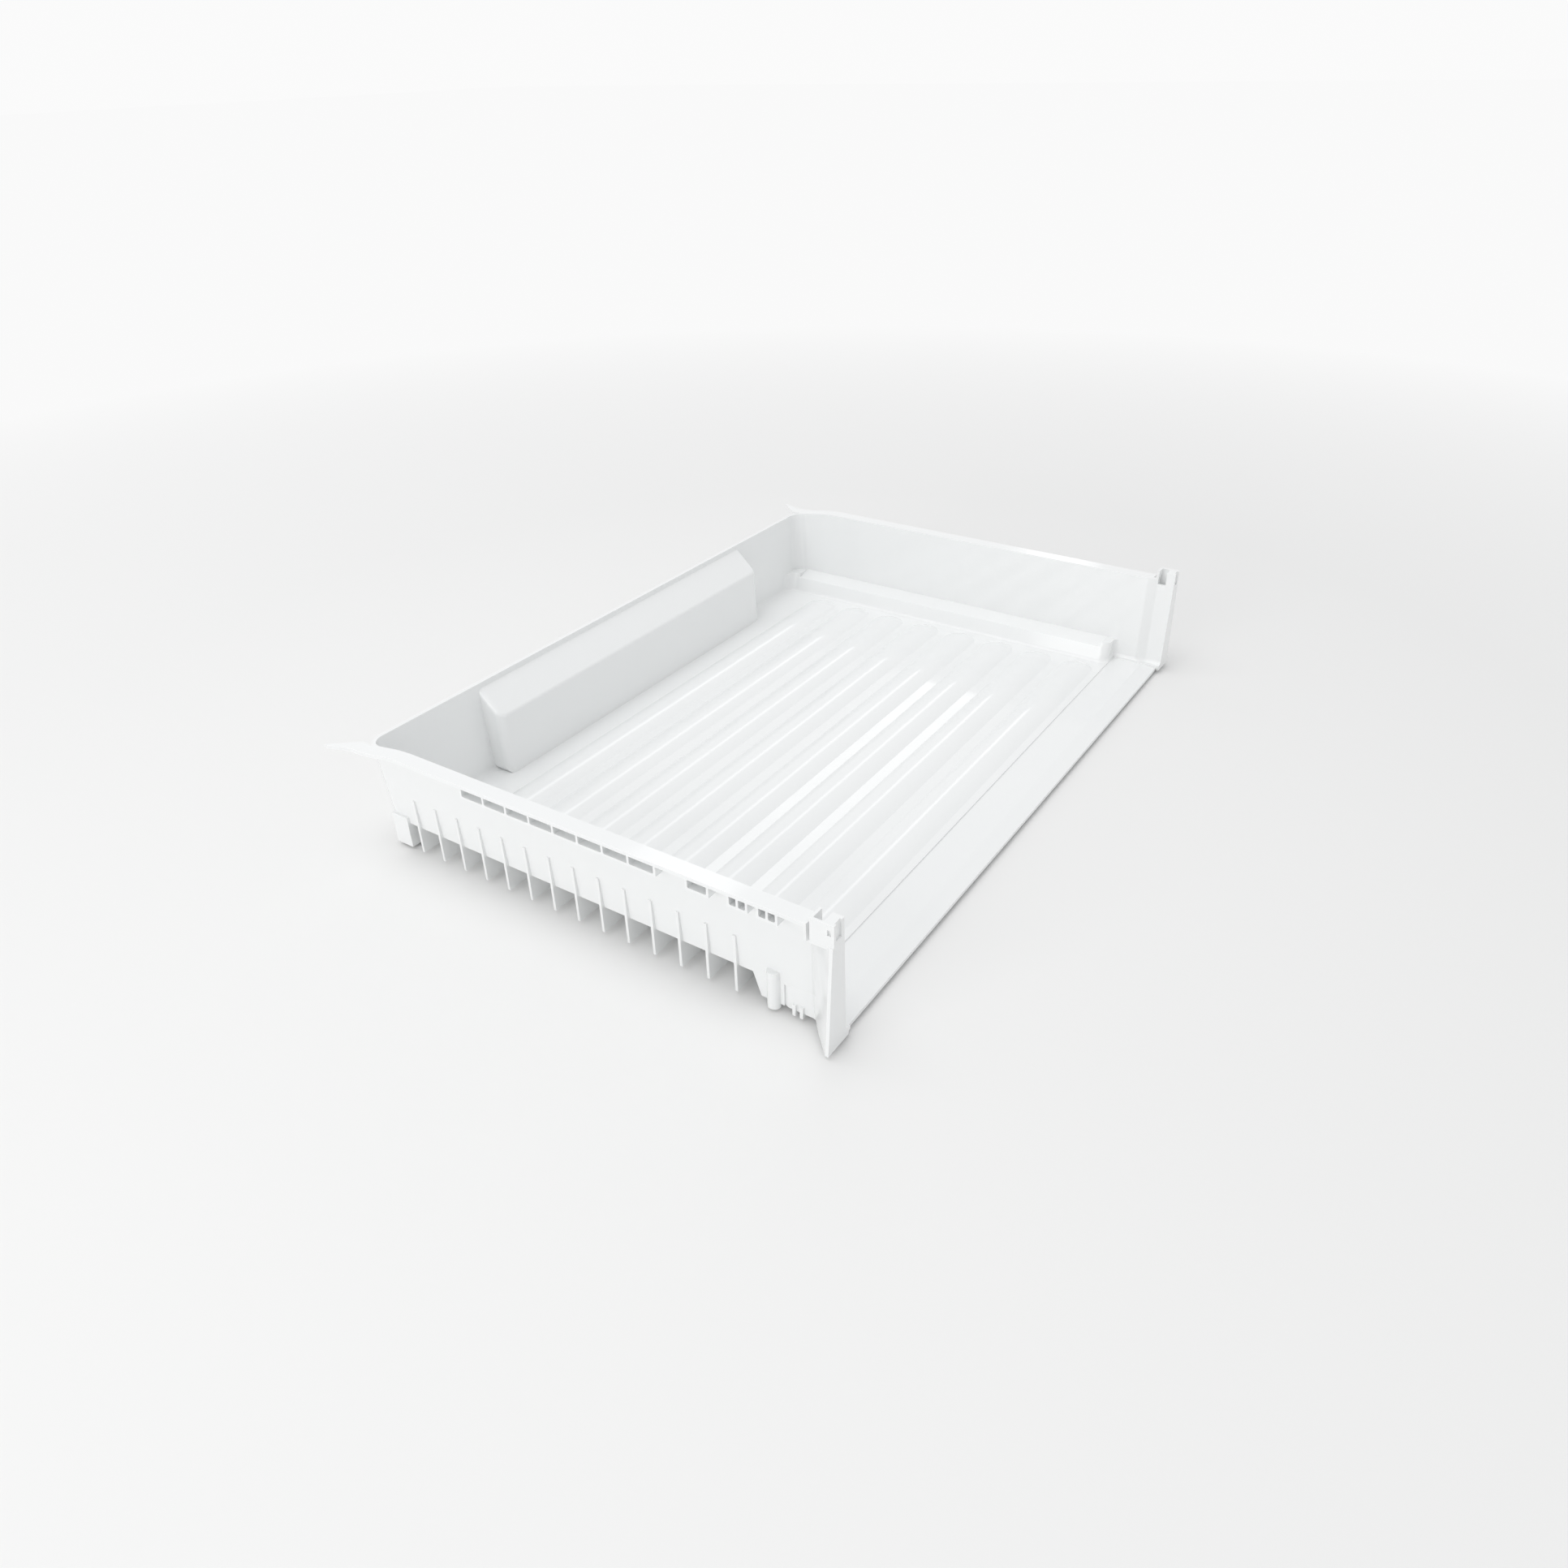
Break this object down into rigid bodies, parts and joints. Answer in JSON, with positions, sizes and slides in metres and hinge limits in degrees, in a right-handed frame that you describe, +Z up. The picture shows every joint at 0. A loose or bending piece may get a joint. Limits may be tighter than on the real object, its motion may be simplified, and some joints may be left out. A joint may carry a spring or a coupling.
{
  "type": "refrigerator drawer tray",
  "caption": "Shallow white moulded fridge drawer tray, open at the front, with a banded floor, ribbed side walls, runner flanges and hollow front posts for a separate front panel.",
  "frame": {"origin": "centre of the bounding box in plan, on the surface that the tray stands on", "axes": "+X across the tray to its right side, +Y from the open front to the back wall, +Z up"},
  "size_m": [0.4524, 0.3184, 0.0694],
  "materials": {
    "white_plastic": "polished white moulded polystyrene"
  },
  "bodies": {
    "root": {"drawer_body": "white_plastic"}
  },
  "joints": []
}
